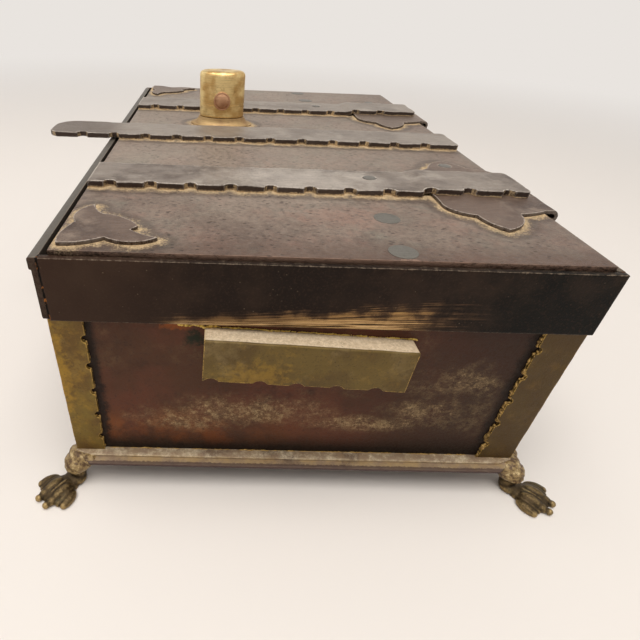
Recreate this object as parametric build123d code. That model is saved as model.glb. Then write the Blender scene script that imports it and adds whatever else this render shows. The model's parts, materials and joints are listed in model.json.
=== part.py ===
from build123d import *
import math
import os

# Strongbox of sheet steel with brass corner straps, on four cast paw feet.
# Millimetres. X runs from the front (tongue side, -X) to the hinges (+X),
# Y along the box, Z up from the floor. The origin is on the floor, under the middle of the box.

# Casket
rim_width = 200.0          # across the box, outside the rim plates
rim_length = 306.0         # along the box, outside the rim plates
rim_height = 25.1
rim_plate = 2.5
wall = 1.8
body_height = 71.3         # from the plinth to the rim's lower edge
foot_height = 14.0         # from the floor to the plinth
base_plate_thick = 1.75
floor_plate_thick = 1.0
base_overhang = 5.75       # beyond the rim at each end
floor_overhang = 2.0
base_side_inset = 1.0      # inside the rim along the front and back
base_clip = (7.0, 6.0)     # cut-off corners of the plinth, across and along
bead_height = 4.5          # turned-over top edge of the front rim plate
bead_proud = 0.8

# Brass corner straps
corner_thick = 1.5
corner_leg_front = 12.7    # leg width at the front corners
corner_leg_back = 15.4     # leg width at the back corners
corner_notch_radius = 1.7
corner_notch_pitch = 13.4
corner_notch_first = 9.0   # height of the lowest notch above the plinth

# End pulls
pull_length = 78.0
pull_centre = -3.0
pull_reach = 9.0           # from the wall to the face
pull_drop = 19.0
pull_thick = 1.5
pull_below_rim = 4.0
pull_tilt = 2.6            # degrees, down towards the back
pull_bite_radius = 3.6
pull_bite_depth = 1.4
pull_bites = (-35.6, -17.0, -3.0, 12.6, 27.6)   # from the middle of the pull

# Lid
lid_thick = 2.0
lid_proud = 1.35           # lid's top above the rim's top
lid_back_gap = 0.3
lid_end_gap = 0.8
lid_front_gap = 1.1        # open slit along the front wall
seat_gap = 0.1             # between the lid and the wall tops
strap_width = 26.0
strap_thick = 2.7
strap_pitch = 77.5
strap_past_lid = 0.8       # straps' back ends beyond the lid plate
strap_corner = 2.5
strap_notch_radius = 2.75
tongue_length = 38.9       # beyond the lid plate
tongue_tip_width = 14.0
tongue_taper = 12.5
joggle = 6.0               # length of the step up onto the hinge leaf
leaf_thick = 1.4
leaf_reach = 41.7          # hinge leaves, from the lid plate's back edge

# Hinges
pin_out = 0.5              # pins' middle beyond the back of the rim
pin_radius = 1.35
pin_clearance = 0.05
knuckle_start = 26.7       # ahead of the strap's middle
knuckle_length = 17.0
knuckle_gap = 0.4
knuckle_clear = 0.5
back_leaf_drop = 20.0      # below the rim's top
back_leaf_thick = 1.4
rivet_radius = 1.5
rivet_clearance = 0.05

# Latch
spindle_back = 57.4        # from the lid plate's front edge
spindle_y = 30.4
spindle_radius = 4.0
spindle_clearance = 0.05
rose_half = (19.3, 11.0)   # half width and half depth at the lid
rose_top_half = (14.2, 8.9)
rose_height = 4.6
grip_half = (13.65, 8.5)
grip_height = 25.0
grip_gap = 0.3
grip_line = 7.3            # height of the groove above the grip's foot
grip_line_width = 0.7
grip_line_depth = 0.7
grip_round = 4.0
screw_height = 9.6         # above the grip's foot
screw_head_radius = 5.05
screw_radius = 2.0
latch_drop = 6.0           # from the lid's underside to the latch bar
latch_bar_thick = 3.0
latch_bar_width = 12.0
latch_reach = 55.0
latch_square = 6.0
keeper_width = 24.0
keeper_depth = 12.0
keeper_height = 14.0
keeper_thick = 1.8
keeper_gap = 0.8           # between the keeper and the bar below it

# Lid battens and their flush rivets
batten_ahead = 70.2        # from the lid plate's back edge
batten_width = 16.0
batten_thick = 3.0
batten_length = 38.5
batten_wall_gap = 1.2
flush_radius = 5.25
flush_shank = 3.0
flush_tail = 1.2
flush_first = 6.6          # from the lid's end edge
flush_pitch = 29.0
small_rivet_radius = 3.0

# Paw feet
ankle_radius = 6.2
toe_reach = 19.0
paw_half = 8.4             # half width across the toes
paw_top = 8.6
claw_radius = 1.7

# Worked out from the above
half_wide = rim_width / 2
half_long = rim_length / 2
wall_x = half_wide - rim_plate
wall_y = half_long - rim_plate
inner_x = wall_x - wall
inner_y = wall_y - wall
floor_low = foot_height + base_plate_thick
plinth_top = floor_low + floor_plate_thick
rim_low = plinth_top + body_height
rim_top = rim_low + rim_height
lid_top = rim_top + lid_proud
lid_low = lid_top - lid_thick
seat_top = lid_low - seat_gap
lid_front = -inner_x + lid_front_gap
lid_back = wall_x - lid_back_gap
lid_end = wall_y - lid_end_gap
base_half_wide = half_wide - base_side_inset
knuckle_radius = pin_radius + pin_clearance + leaf_thick
pin_z = lid_top + leaf_thick - knuckle_radius
leaf_left = lid_back - leaf_reach
strap_back = lid_back + strap_past_lid
tongue_tip = lid_front - tongue_length
spindle_x = lid_front + spindle_back
batten_x = lid_back - batten_ahead
pin_x = half_wide + pin_out
strap_middles = {"near": -strap_pitch, "centre": 0.0, "far": strap_pitch}
grip_low = lid_top + rose_height + grip_gap
bar_top = lid_low - latch_drop


def block(x, y, z):
    """Box between pairs of coordinates."""
    size = [abs(b - a) for a, b in (x, y, z)]
    low = [min(pair) for pair in (x, y, z)]
    return Pos(*low) * Box(*size, align=(Align.MIN, Align.MIN, Align.MIN))


def post(centre, radius, z):
    """Upright cylinder between two heights."""
    spot = Pos(centre[0], centre[1], min(z))
    return spot * Cylinder(radius, abs(z[1] - z[0]), align=(Align.CENTER, Align.CENTER, Align.MIN))


def rod(start, direction, radius, length):
    """Cylinder from a point along a direction."""
    plane = Plane(origin=start, z_dir=direction)
    return plane * Cylinder(radius, length, align=(Align.CENTER, Align.CENTER, Align.MIN))


def bow(start, end, sag):
    """Edge between two points, bulging to the left of the way from start to end."""
    if sag == 0:
        return Line(start, end)
    length = math.dist(start, end)
    middle = ((start[0] + end[0]) / 2 - (end[1] - start[1]) / length * sag,
              (start[1] + end[1]) / 2 + (end[0] - start[0]) / length * sag)
    return ThreePointArc(start, middle, end)


def outline(corners):
    """Face from (x, y, bulge to the next point) corners."""
    following = corners[1:] + corners[:1]
    return make_face([bow(a[:2], b[:2], a[2]) for a, b in zip(corners, following)])


def slab(face, z):
    """Face drawn in XY, made solid between two heights."""
    return Pos(0, 0, min(z)) * extrude(face, abs(z[1] - z[0]), dir=(0, 0, 1))


def along_y(face, y):
    """Face drawn in XZ, made solid between two Y values."""
    return extrude(Plane.XZ.offset(-min(y)) * face, abs(y[1] - y[0]), dir=(0, 1, 0))


def oval(a, b):
    """Oval face of four arcs, a by b from its middle."""
    end = b * b / a * 1.15
    side = ((a - end) ** 2 + b ** 2 - end ** 2) / (2 * (b - end))
    lean = math.atan2(side - b, a - end)
    x = a - end + end * math.cos(lean)
    y = end * math.sin(lean)
    end_bulge = -end * (1 - math.cos(lean))
    side_bulge = -side * (1 - math.sin(lean))
    return outline([(x, -y, end_bulge), (x, y, side_bulge), (-x, y, end_bulge), (-x, -y, side_bulge)])


def clipped_plate(half_x, half_y, clip, z):
    cx, cy = clip
    quarter = [(half_x - cx, half_y), (half_x, half_y - cy)]
    points = quarter + [(x, -y) for x, y in reversed(quarter)]
    points += [(-x, -y) for x, y in quarter] + [(-x, y) for x, y in reversed(quarter)]
    return slab(make_face(Polyline(*points, close=True)), z)


# Plinth and walls

def base_plate():
    return clipped_plate(base_half_wide, half_long + base_overhang, base_clip, (foot_height, floor_low))


def floor_plate():
    half_y = half_long + floor_overhang
    clip = (base_clip[0], base_clip[1] - base_overhang + floor_overhang)
    return clipped_plate(base_half_wide, half_y, clip, (floor_low, plinth_top))


def end_wall(side):
    return block((-wall_x, wall_x), (side * inner_y, side * wall_y), (plinth_top, seat_top))


def front_wall():
    return block((-wall_x, -inner_x), (-inner_y, inner_y), (plinth_top, rim_top))


def back_wall():
    return block((inner_x, wall_x), (-inner_y, inner_y), (plinth_top, seat_top))


# Rim: each plate covers the end of the next one, round the box

def rim_end(side):
    x = (-wall_x, half_wide) if side < 0 else (-half_wide, wall_x)
    return block(x, (side * wall_y, side * half_long), (rim_low, rim_top))


def rim_front():
    y = (-half_long, wall_y)
    plate = block((-half_wide, -wall_x), y, (rim_low, rim_top))
    bead = block((-half_wide - bead_proud, -wall_x), y, (rim_top - bead_height, rim_top))
    outer = bead.edges().filter_by(Axis.Y).group_by(Axis.X)[0]
    return plate + fillet(outer, bead_proud * 0.8)


def knuckle_span(middle, owner):
    """Y range of the lid's or the casket's knuckle of the hinge at a strap."""
    start = middle - knuckle_start
    if owner == "lid":
        return start, start + knuckle_length
    return start + knuckle_length + knuckle_gap, start + 2 * knuckle_length + knuckle_gap


def hinge_middles():
    return {name: strap_middles[name] for name in ("near", "far")}


def hinge_span(middle):
    return knuckle_span(middle, "lid")[0], knuckle_span(middle, "casket")[1]


def back_rivet_spots(middle):
    y0, y1 = hinge_span(middle)
    z = rim_top - (back_leaf_drop + knuckle_radius) / 2
    inset = (y1 - y0) / 5
    return [(y0 + inset, z), (y1 - inset, z)]


def rim_back():
    plate = block((wall_x, half_wide), (-wall_y, half_long), (rim_low, rim_top))
    for middle in hinge_middles().values():
        y0, y1 = hinge_span(middle)
        notch_low = pin_z - knuckle_radius - knuckle_clear
        notch_y = (y0 - knuckle_clear, y1 + knuckle_clear)
        plate -= block((wall_x, half_wide), notch_y, (notch_low, rim_top))
        for y, z in back_rivet_spots(middle):
            plate -= rod((wall_x, y, z), (1, 0, 0), rivet_radius + rivet_clearance, rim_plate)
    return plate


# Corner straps

def corner_strap(side_x, side_y):
    leg = corner_leg_front if side_x < 0 else corner_leg_back
    z = (plinth_top, rim_low)
    outer_x, outer_y = wall_x + corner_thick, wall_y + corner_thick
    end_leg = block((side_x * (outer_x - leg), side_x * outer_x), (side_y * wall_y, side_y * outer_y), z)
    side_leg = block((side_x * wall_x, side_x * outer_x), (side_y * (outer_y - leg), side_y * outer_y), z)
    strap = end_leg + side_leg
    height = plinth_top + corner_notch_first
    while height < rim_low - corner_notch_radius:
        strap -= rod((side_x * (outer_x - leg), side_y * wall_y, height), (0, side_y, 0),
                     corner_notch_radius, corner_thick)
        strap -= rod((side_x * wall_x, side_y * (outer_y - leg), height), (side_x, 0, 0),
                     corner_notch_radius, corner_thick)
        height += corner_notch_pitch
    return strap


# End pulls: brass angle soldered to the end walls

def end_pull(side):
    top = rim_low - pull_below_rim
    x = (pull_centre - pull_length / 2, pull_centre + pull_length / 2)
    face_y = wall_y + pull_reach
    flange = block(x, (wall_y, face_y), (top - pull_thick, top))
    face = block(x, (face_y - pull_thick, face_y), (top - pull_drop, top))
    pull = flange + face
    bend = pull.edges().filter_by(Axis.X).sort_by(lambda e: e.center().Y + e.center().Z)[-1]
    pull = fillet(bend, pull_thick * 0.6)
    bite_z = top - pull_drop - pull_bite_radius + pull_bite_depth
    for offset in pull_bites:
        start = (pull_centre + offset, face_y - pull_thick, bite_z)
        pull -= rod(start, (0, 1, 0), pull_bite_radius, pull_thick)
    hub = Pos(pull_centre, 0, top)
    pull = hub * Rot(0, pull_tilt, 0) * hub.inverse() * pull
    return mirror(pull, about=Plane.XZ) if side < 0 else pull


# Hinges

def hinge_leaf_outline(middle):
    """Leaf with three pointed lobes ahead of its strap and a round one behind it."""
    corners = [(0, -knuckle_start, 0.8), (12.7, -31.2, 2.8), (24.9, -47.0, 1.4), (31.7, -33.4, 3.3),
               (leaf_reach, -21.0, 0), (leaf_reach, 13.0, 1.2), (31.2, 25.0, 2.0), (20.2, 38.0, 1.8),
               (11.2, 27.5, 1.0), (0, 22.0, 0)]
    return outline([(lid_back - x, middle + y, sag) for x, y, sag in corners])


def rolled_knuckle():
    """Section of the sheet that leaves the leaf's top and rolls three quarters round the pin."""
    inner = knuckle_radius - leaf_thick
    flat_start = lid_back - 4
    lean = math.sqrt(0.5)
    outer_turn = ThreePointArc((pin_x, pin_z + knuckle_radius),
                               (pin_x + knuckle_radius * lean, pin_z - knuckle_radius * lean),
                               (pin_x - knuckle_radius, pin_z))
    inner_turn = ThreePointArc((pin_x - inner, pin_z), (pin_x + inner * lean, pin_z - inner * lean),
                               (pin_x, pin_z + inner))
    edges = [Line((flat_start, lid_top + leaf_thick), (pin_x, pin_z + knuckle_radius)), outer_turn,
             Line((pin_x - knuckle_radius, pin_z), (pin_x - inner, pin_z)), inner_turn,
             Line((pin_x, pin_z + inner), (flat_start, lid_top)),
             Line((flat_start, lid_top), (flat_start, lid_top + leaf_thick))]
    return make_face(edges)


def lobe_rivet_spot(middle):
    return lid_back - 20.7, middle + 30.0


def hinge_leaf(middle):
    leaf = slab(hinge_leaf_outline(middle), (lid_top, lid_top + leaf_thick))
    leaf += along_y(rolled_knuckle(), knuckle_span(middle, "lid"))
    x, y = lobe_rivet_spot(middle)
    return leaf - post((x, y), small_rivet_radius + rivet_clearance, (lid_top, lid_top + leaf_thick))


def back_leaf(middle):
    """Plate on the outside of the rim, with the casket's own knuckle."""
    y0, y1 = hinge_span(middle)
    inner = pin_radius + pin_clearance
    plate_x = (half_wide, half_wide + back_leaf_thick)
    plate_top = pin_z - knuckle_radius - knuckle_clear
    plate = block(plate_x, (y0, y1), (rim_top - back_leaf_drop, plate_top))
    lower = plate.edges().filter_by(Axis.X).group_by(Axis.Z)[0]
    plate = fillet(lower, (y1 - y0) / 8)
    span = knuckle_span(middle, "casket")
    neck = block(plate_x, span, (plate_top, pin_z))
    barrel = rod((pin_x, span[0], pin_z), (0, 1, 0), knuckle_radius, knuckle_length)
    leaf = plate + neck + barrel
    leaf -= rod((pin_x, span[0], pin_z), (0, 1, 0), inner, knuckle_length)
    for y, z in back_rivet_spots(middle):
        leaf -= rod((half_wide, y, z), (1, 0, 0), rivet_radius + rivet_clearance, back_leaf_thick)
    return leaf


def hinge_pin(middle):
    y0, y1 = hinge_span(middle)
    return rod((pin_x, y0 + knuckle_gap, pin_z), (0, 1, 0), pin_radius, y1 - y0 - knuckle_gap)


def dome_head(base, direction, radius, height):
    """Round rivet head: an arc turned about the rivet's axis."""
    ball = (radius ** 2 + height ** 2) / (2 * height)
    half_turn = math.asin(radius / ball) / 2
    shoulder = (ball * math.sin(half_turn), height - ball + ball * math.cos(half_turn))
    section = make_face([Line((0, 0), (radius, 0)), ThreePointArc((radius, 0), shoulder, (0, height)),
                         Line((0, height), (0, 0))])
    return Plane(origin=base, z_dir=direction) * revolve(Plane.XZ * section, Axis.Z)


def back_leaf_rivets():
    rivets = []
    for middle in hinge_middles().values():
        for y, z in back_rivet_spots(middle):
            shank = rod((wall_x, y, z), (1, 0, 0), rivet_radius, rim_plate + back_leaf_thick)
            head = dome_head((half_wide + back_leaf_thick, y, z), (1, 0, 0), 1.8 * rivet_radius, 1.2)
            rivets.append(shank + head)
    return Compound(children=rivets)


# Lid

def flush_spots(side):
    edge = lid_end - flush_first
    return [(batten_x - 1.0, side * edge), (batten_x + 1.5, side * (edge - flush_pitch))]


def flush_rivet(spot, slack):
    """Rivet whose countersunk head is as deep as the lid, and flush with it."""
    head = Pos(spot[0], spot[1], lid_low) * Cone(flush_shank + slack, flush_radius + slack, lid_thick,
                                                 align=(Align.CENTER, Align.CENTER, Align.MIN))
    return head + post(spot, flush_shank + slack, (lid_low - batten_thick, lid_low))


def small_rivet(spot, top, slack):
    return post(spot, small_rivet_radius + slack, (lid_low, top))


def strap_rivet_spots():
    return [(lid_back - 66.2, strap_middles[name] + 3.5) for name in ("near", "far")]


def lid_plate():
    plate = block((lid_front, lid_back), (-lid_end, lid_end), (lid_low, lid_top))
    plate -= post((spindle_x, spindle_y), spindle_radius + spindle_clearance, (lid_low, lid_top))
    for side in (-1, 1):
        for spot in flush_spots(side):
            plate -= flush_rivet(spot, rivet_clearance)
    for spot in strap_rivet_spots() + [lobe_rivet_spot(m) for m in hinge_middles().values()]:
        plate -= small_rivet(spot, lid_top, rivet_clearance)
    return plate


def strap_section(front, stepped):
    """Side view of a strap, stepped up onto its hinge leaf where it has one."""
    step_start, step_end = leaf_left - joggle - 0.5, leaf_left - 0.5
    rise = leaf_thick if stepped else 0
    low = [(front, lid_top), (step_start, lid_top), (step_end, lid_top + rise),
           (strap_back, lid_top + rise)]
    high = [(x, z + strap_thick) for x, z in reversed(low)]
    return make_face(Polyline(*low, *high, close=True))


def strap_outline(front, middle, tongue):
    half = strap_width / 2
    r = strap_corner
    bulge = -r * (1 - math.sqrt(0.5))
    back = [(strap_back - r, middle - half, bulge), (strap_back, middle - half + r, 0),
            (strap_back, middle + half - r, bulge), (strap_back - r, middle + half, 0)]
    if not tongue:
        return outline(back + [(front, middle + half, 0), (front, middle - half, 0)])
    tip = tongue_tip_width / 2
    shift = -2.0
    nose = [(tongue_tip + tongue_taper, middle + half, -2.5), (tongue_tip, middle + shift + tip, 0),
            (tongue_tip, middle + shift - tip, -2.5), (tongue_tip + tongue_taper, middle - half, 0)]
    return outline(back + nose)


def strap(name):
    middle = strap_middles[name]
    tongue = name == "centre"
    front = tongue_tip if tongue else lid_front
    first = lid_front + {"near": 9.6, "centre": -20.4, "far": 11.6}[name]
    pitch = {"near": 17.3, "centre": 17.6, "far": 17.4}[name]
    z = (lid_top, lid_top + leaf_thick + strap_thick)
    body = along_y(strap_section(front, not tongue), (middle - strap_width / 2, middle + strap_width / 2))
    body &= slab(strap_outline(front, middle, tongue), z)
    while first < strap_back - 3 * strap_notch_radius:
        body -= post((first, middle - strap_width / 2), strap_notch_radius, z)
        first += pitch
    for spot in strap_rivet_spots():
        if abs(spot[1] - middle) < strap_width / 2:
            body -= post(spot, small_rivet_radius + rivet_clearance, (lid_top, lid_top + strap_thick))
    return body


def strap_rivets():
    rivets = [small_rivet(spot, lid_top + strap_thick, 0) for spot in strap_rivet_spots()]
    rivets += [small_rivet(lobe_rivet_spot(m), lid_top + leaf_thick, 0) for m in hinge_middles().values()]
    return Compound(children=rivets)


def corner_leaf(side):
    """Ivy-shaped leaf in a front corner of the lid; distances are from that corner."""
    corners = [(2.0, 3.2, 1.7), (4.4, 20.5, 3.4), (8.3, 37.2, -1.0), (13.1, 28.2, 2.3), (27.4, 18.2, -0.3),
               (25.3, 15.2, -0.6), (35.6, 9.2, 3.5), (17.1, 8.4, 1.5)]
    face = outline([(lid_front + x, -lid_end + y, sag) for x, y, sag in corners])
    leaf = slab(face, (lid_top, lid_top + leaf_thick))
    return leaf if side < 0 else mirror(leaf, about=Plane.XZ)


def lid_batten(side):
    outer = inner_y - batten_wall_gap
    x = (batten_x - batten_width / 2, batten_x + batten_width / 2)
    batten = block(x, (side * (outer - batten_length), side * outer), (lid_low - batten_thick, lid_low))
    for spot in flush_spots(side):
        batten -= flush_rivet(spot, rivet_clearance)
    return batten


def batten_rivets():
    rivets = []
    for side in (-1, 1):
        for spot in flush_spots(side):
            low = lid_low - batten_thick
            rivets.append(flush_rivet(spot, 0) + post(spot, 1.4 * flush_shank, (low - flush_tail, low)))
    return Compound(children=rivets)


# Latch: oval turn grip on a flared rose, its spindle through the lid, and the bar below

def knob_rose():
    spot = (spindle_x, spindle_y)
    a, b = rose_half
    c, d = rose_top_half
    waist = 0.3
    sections = [(a, b, lid_top + 0.8),
                (c + (a - c) * waist, d + (b - d) * waist, lid_top + rose_height * 0.55),
                (c, d, lid_top + rose_height)]
    rim = Pos(*spot, lid_top) * extrude(oval(a, b), 0.8)
    rose = rim + loft([Pos(*spot, z) * oval(half_x, half_y) for half_x, half_y, z in sections], ruled=True)
    return rose - post(spot, spindle_radius + spindle_clearance, (lid_top, lid_top + rose_height))


def turn_grip():
    spot = Pos(spindle_x, spindle_y, grip_low)
    a, b = grip_half
    grip = extrude(oval(a, b), grip_height)
    grip = fillet(grip.edges().group_by(Axis.Z)[-1], grip_round)
    ring = extrude(oval(a + 1, b + 1) - oval(a - grip_line_depth, b - grip_line_depth), grip_line_width)
    grip -= Pos(0, 0, grip_line) * ring
    grip = spot * grip
    z = grip_low + screw_height
    bore = (grip_low, z + screw_head_radius)
    grip -= post((spindle_x, spindle_y), spindle_radius + spindle_clearance, bore)
    face_y = spindle_y - grip_half[1]
    grip -= rod((spindle_x, face_y - 1, z), (0, 1, 0), screw_head_radius + 0.1, 1.0 + grip_line_depth)
    return grip - rod((spindle_x, face_y, z), (0, 1, 0), screw_radius, grip_half[1])


def grip_screw():
    z = grip_low + screw_height
    seat_y = spindle_y - grip_half[1] + grip_line_depth
    head = rod((spindle_x, seat_y - 0.8, z), (0, 1, 0), screw_head_radius, 0.8)
    head += dome_head((spindle_x, seat_y - 0.8, z), (0, -1, 0), screw_head_radius, 1.3)
    return head + rod((spindle_x, seat_y, z), (0, 1, 0), screw_radius,
                      grip_half[1] - grip_line_depth - spindle_radius)


def spindle():
    """Round spindle with a square tail for the latch bar and a round end for the nut."""
    spot = (spindle_x, spindle_y)
    tail_low = bar_top - latch_bar_thick
    shaft = post(spot, spindle_radius, (bar_top, grip_low + screw_height + screw_head_radius - 1))
    half = latch_square / 2
    square = block((spindle_x - half, spindle_x + half), (spindle_y - half, spindle_y + half),
                   (tail_low, bar_top))
    return shaft + square + post(spot, half, (tail_low - 5, tail_low))


def spindle_collar():
    spot = (spindle_x, spindle_y)
    z = (bar_top, lid_low - grip_gap)
    return post(spot, 7.0, z) - post(spot, spindle_radius, z)


def latch_bar():
    """Bar along the box at rest; a quarter turn brings its end under the keeper."""
    half = latch_bar_width / 2
    z = (bar_top - latch_bar_thick, bar_top)
    end = spindle_y + latch_reach
    nose = half * 0.8
    face = outline([(spindle_x - half, spindle_y, 0), (spindle_x - half, end - nose, 0),
                    (spindle_x - half + nose, end, 0), (spindle_x + half, end, 0),
                    (spindle_x + half, spindle_y, half)])
    hole = latch_square / 2
    bar = slab(face, z)
    return bar - block((spindle_x - hole, spindle_x + hole), (spindle_y - hole, spindle_y + hole), z)


def spindle_nut():
    low = bar_top - latch_bar_thick
    nut = slab(RegularPolygon(6.5, 6), (0, 4)) - post((0, 0), latch_square / 2, (0, 4))
    return Pos(spindle_x, spindle_y, low - 4) * nut


def latch_keeper():
    """Bracket on the inside of the front wall; the bar turns in under its flange."""
    low = bar_top + keeper_gap
    y = (spindle_y - keeper_width / 2, spindle_y + keeper_width / 2)
    flange = block((-inner_x, -inner_x + keeper_depth), y, (low, low + keeper_thick))
    leg_x = (-inner_x, -inner_x + keeper_thick)
    leg = block(leg_x, y, (low + keeper_thick - keeper_height, low + keeper_thick))
    return flange + leg


# Paw feet

def paw_section(half, top):
    """Section across the paw: flat below, with four ridges above."""
    ridge = -half * 0.13
    return outline([(-half * 0.86, 0, 0), (half * 0.86, 0, ridge * 0.8), (half, top * 0.45, ridge),
                    (half * 0.55, top * 0.86, ridge), (0, top * 0.92, ridge),
                    (-half * 0.55, top * 0.86, ridge), (-half, top * 0.45, ridge * 0.8)])


def paw_outline():
    """Paw seen from above, each toe with a round end."""
    shoulder = toe_reach - 5.5
    toe_round = -paw_half * 0.26
    return outline([(-ankle_radius, -paw_half - 1, 0), (shoulder, -paw_half - 1, toe_round),
                    (shoulder + 2, -paw_half * 0.55, toe_round), (toe_reach, 0, toe_round),
                    (shoulder + 2, paw_half * 0.55, toe_round), (shoulder, paw_half + 1, 0),
                    (-ankle_radius, paw_half + 1, 0)])


def paw():
    """Cast lion's paw, toes along +X, its ankle over the origin and its soles at Z = 0."""
    stations = [(-2.2, 2.3, 5.0), (3.5, 4.4, 6.4), (toe_reach * 0.58, paw_half * 0.92, paw_top),
                (toe_reach, paw_half, paw_top * 0.38)]
    sections = [Plane(origin=(u, 0, 0), x_dir=(0, 1, 0), z_dir=(1, 0, 0)) * paw_section(half, top)
                for u, half, top in stations]
    foot = loft(sections, ruled=True) & extrude(paw_outline(), paw_top + 1, dir=(0, 0, 1))
    levels = [(0, 3.4), (foot_height * 0.48, 4.4), (foot_height - 3.5, ankle_radius),
              (foot_height, ankle_radius), (foot_height + 3.5, ankle_radius * 0.5)]
    foot += loft([Pos(0, 0, z) * Circle(radius) for z, radius in levels], ruled=True)
    for reach, side in ((toe_reach - 4, 0.86), (toe_reach, 0.3)):
        for v in (-side, side):
            claw = Plane(origin=(reach - 1, v * paw_half, claw_radius - 0.3), z_dir=(1, 0, 0))
            foot += claw * Cone(claw_radius, claw_radius * 0.6, 2.6,
                                align=(Align.CENTER, Align.CENTER, Align.MIN))
    return foot - block((0, 2 * toe_reach), (-paw_half, paw_half), (-claw_radius, 0))


def paw_foot(side_x, side_y, casting):
    """Paw under a cut-off corner, gripping the edges of the two plinth plates."""
    reach = 3.2 if side_x > 0 else 0.7
    seat = (side_x * (half_wide - 0.25), side_y * (half_long - 0.25))
    heading = math.degrees(math.atan2(side_y, side_x))
    foot = Pos(*seat, 0) * Rot(0, 0, heading) * Pos(reach, 0, 0) * casting
    foot -= base_plate()
    foot -= floor_plate()
    return foot - block((-half_wide, half_wide), (-half_long, half_long), (plinth_top, rim_low))


def pieces():
    made = {"base_plate": base_plate(), "floor_plate": floor_plate(), "front_wall": front_wall(),
            "back_wall": back_wall(), "rim_front": rim_front(), "rim_back": rim_back(),
            "back_leaf_rivets": back_leaf_rivets(), "latch_keeper": latch_keeper(),
            "lid_plate": lid_plate(), "strap_rivets": strap_rivets(), "batten_rivets": batten_rivets(),
            "knob_rose": knob_rose(), "turn_grip": turn_grip(), "grip_screw": grip_screw(),
            "spindle": spindle(), "spindle_collar": spindle_collar(), "latch_bar": latch_bar(),
            "spindle_nut": spindle_nut()}
    casting = paw()
    for end, side in (("near", -1), ("far", 1)):
        made[end + "_end_wall"] = end_wall(side)
        made["rim_" + end + "_end"] = rim_end(side)
        made[end + "_end_pull"] = end_pull(side)
        made["corner_leaf_" + end] = corner_leaf(side)
        made["lid_batten_" + end] = lid_batten(side)
        made["hinge_leaf_" + end] = hinge_leaf(strap_middles[end])
        made["back_leaf_" + end] = back_leaf(strap_middles[end])
        made["hinge_pin_" + end] = hinge_pin(strap_middles[end])
        for face, side_x in (("front", -1), ("back", 1)):
            made["corner_strap_" + face + "_" + end] = corner_strap(side_x, side)
            made["paw_foot_" + face + "_" + end] = paw_foot(side_x, side, casting)
    for name in strap_middles:
        made["strap_" + name] = strap(name)
    return made


os.makedirs("parts", exist_ok=True)
for node, shape in pieces().items():
    export_step(shape, "parts/" + node + ".step")
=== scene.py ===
import json
import math
import time
import bmesh
import bpy
from mathutils import Matrix, Vector, noise
from mathutils.bvhtree import BVHTree
from mathutils.kdtree import KDTree

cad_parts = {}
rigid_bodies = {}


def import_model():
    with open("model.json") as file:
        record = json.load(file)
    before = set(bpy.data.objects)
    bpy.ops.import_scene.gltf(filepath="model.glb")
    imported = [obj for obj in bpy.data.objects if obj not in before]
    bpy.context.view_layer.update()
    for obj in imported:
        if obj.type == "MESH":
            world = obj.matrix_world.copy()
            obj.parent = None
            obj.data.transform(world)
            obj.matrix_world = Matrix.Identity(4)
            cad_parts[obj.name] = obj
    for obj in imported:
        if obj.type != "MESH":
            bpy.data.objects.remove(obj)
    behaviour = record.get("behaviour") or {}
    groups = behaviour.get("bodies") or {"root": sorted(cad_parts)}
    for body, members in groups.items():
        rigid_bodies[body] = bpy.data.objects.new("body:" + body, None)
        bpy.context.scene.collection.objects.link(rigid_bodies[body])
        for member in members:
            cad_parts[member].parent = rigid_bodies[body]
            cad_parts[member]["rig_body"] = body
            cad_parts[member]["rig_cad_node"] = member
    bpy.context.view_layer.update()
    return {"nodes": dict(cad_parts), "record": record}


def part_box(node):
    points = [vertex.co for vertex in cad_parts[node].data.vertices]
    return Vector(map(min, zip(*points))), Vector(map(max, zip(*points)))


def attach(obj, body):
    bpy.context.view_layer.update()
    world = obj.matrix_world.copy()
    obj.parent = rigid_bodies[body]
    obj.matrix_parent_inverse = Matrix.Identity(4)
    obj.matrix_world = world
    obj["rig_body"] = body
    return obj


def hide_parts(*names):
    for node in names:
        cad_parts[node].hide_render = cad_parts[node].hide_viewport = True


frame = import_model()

# Strongbox: a steel casket with brass corner straps, a strapped lid, a turn latch and cast paw feet.
# Metres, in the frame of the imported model: X from the front to the hinges, Y along the box, Z up.

mm = 0.001
edit = bpy.ops.mesh
scene = bpy.context.scene
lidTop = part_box("lid_plate")[1].z
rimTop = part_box("rim_front")[1].z
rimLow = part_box("rim_front")[0].z
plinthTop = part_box("floor_plate")[1].z
bodyOf = {node: body for body, nodes in frame["record"]["behaviour"]["bodies"].items() for node in nodes}
started = time.time()


def report(stage):
    print("%5.1f s  %s" % (time.time() - started, stage))


def toLinear(hexText):  # sRGB hex to linear colour
    out = []
    for i in (1, 3, 5):
        c = int(hexText[i:i + 2], 16) / 255
        out.append(c / 12.92 if c <= 0.04045 else ((c + 0.055) / 1.055) ** 2.4)
    return (*out, 1.0)


def setMode(mode):
    bpy.ops.object.mode_set(mode=mode)


def selectOnly(*objects):
    if bpy.context.object and bpy.context.object.mode != "OBJECT":
        setMode("OBJECT")
    bpy.ops.object.select_all(action="DESELECT")
    for obj in objects:
        obj.select_set(True)
    if objects:
        bpy.context.view_layer.objects.active = objects[0]


def editAll(piece):
    selectOnly(piece)
    setMode("EDIT")
    edit.select_all(action="SELECT")


def mark(piece, name, values):  # one value for each point, for the finishes
    piece.data.attributes.new(name, "FLOAT", "POINT").data.foreach_set("value", values)


# camera at the photograph's viewing angle

camera = {"place": (-39.3, -290.5, 187.3), "yaw": 0.0251, "pitch": -0.6471, "roll": 0.0418,
          "focal": 470.36, "middle": (221.74, 336.07), "frame": 640}


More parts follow.
